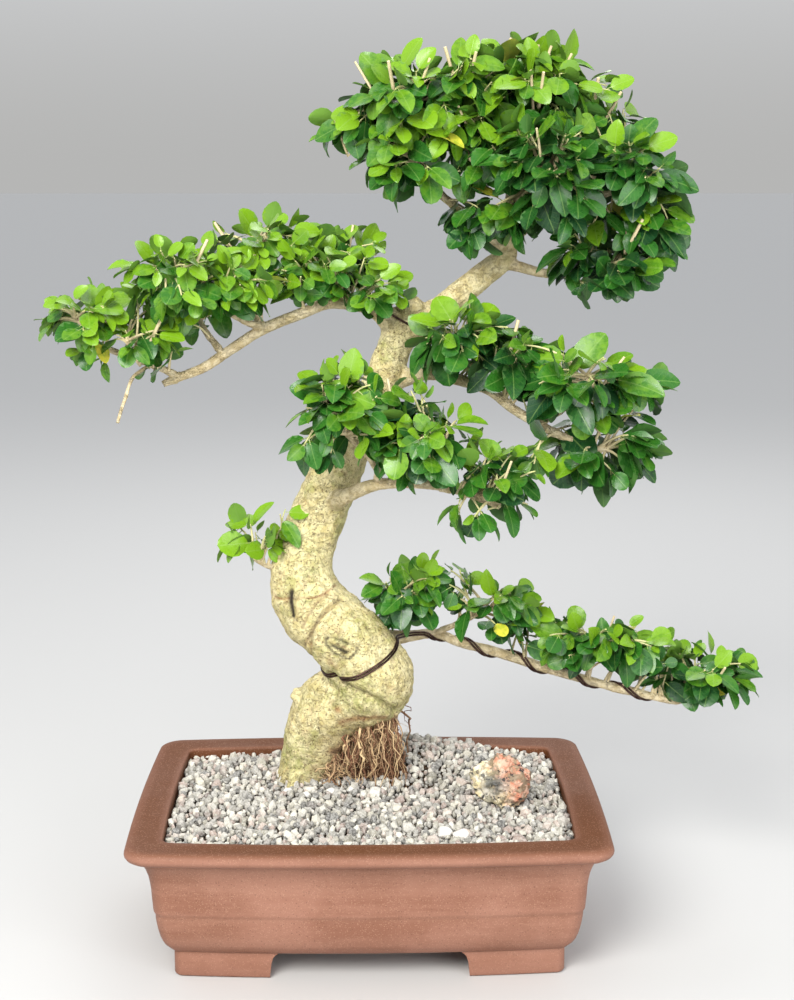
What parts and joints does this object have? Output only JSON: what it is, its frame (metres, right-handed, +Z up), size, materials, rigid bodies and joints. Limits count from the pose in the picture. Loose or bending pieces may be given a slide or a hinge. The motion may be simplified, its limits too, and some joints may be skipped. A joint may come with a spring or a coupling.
{
  "type": "bonsai tree in a pot",
  "caption": "Informal upright broadleaf bonsai with a curved trunk, leafy pads and a wired lower branch, in a rectangular footed clay pot with gravel and a small rock.",
  "frame": {"origin": "middle of the whole object's footprint, on the surface that the pot's feet stand on", "axes": "+X to the right and +Y away from the viewer at the front of the pot, +Z up"},
  "size_m": [0.5788, 0.3002, 0.7244],
  "materials": {
    "clay": "unglazed fired clay, warm brown, satin where it is burnished on the lip",
    "mesh_plastic": "black plastic drainage mesh",
    "staple_wire": "bare soft wire",
    "soil": "damp dark growing mix",
    "gravel": "grey and pinkish grit, dull",
    "accent_rock": "weathered cream and pink stone with dark pits",
    "pale_pebble": "pale tumbled pebbles",
    "fine_roots": "matted fine brown roots",
    "bark": "pale yellow-tan bark with a green tint and dark specks",
    "training_wire": "dark brown anodised wire",
    "leaves": "glossy green on top, paler and matt underneath"
  },
  "bodies": {
    "root": {"accent_rock": "accent_rock", "branch_wire_lower": "training_wire", "branch_wire_upper": "training_wire", "centre_pad_left": "leaves", "centre_pad_middle": "leaves", "centre_pad_right": "leaves", "crown_back": "leaves", "crown_front": "leaves", "crown_left": "leaves", "crown_low": "leaves", "crown_right": "leaves", "crown_shoulder": "leaves", "crown_top": "leaves", "drain_screen_left": "mesh_plastic", "drain_screen_right": "mesh_plastic", "drain_screen_staple_left": "staple_wire", "drain_screen_staple_right": "staple_wire", "fork_tie_wire": "training_wire", "gravel_top_dressing": "gravel", "left_pad_back": "leaves", "left_pad_front": "leaves", "left_pad_inner": "leaves", "left_pad_lower": "leaves", "left_pad_tip": "leaves", "left_pad_top": "leaves", "loose_pebble_1": "pale_pebble", "loose_pebble_2": "pale_pebble", "loose_pebble_3": "pale_pebble", "loose_pebble_4": "pale_pebble", "loose_pebble_5": "pale_pebble", "loose_pebble_6": "pale_pebble", "loose_pebble_7": "pale_pebble", "loose_pebble_8": "pale_pebble", "low_pad_fork": "leaves", "low_pad_inner": "leaves", "low_pad_middle": "leaves", "low_pad_tip": "leaves", "pot": "clay", "right_pad_near": "leaves", "right_pad_outer": "leaves", "right_pad_rise": "leaves", "root_clump": "fine_roots", "soil": "soil", "trunk_and_branches": "bark", "trunk_sprout": "leaves"}
  },
  "joints": []
}
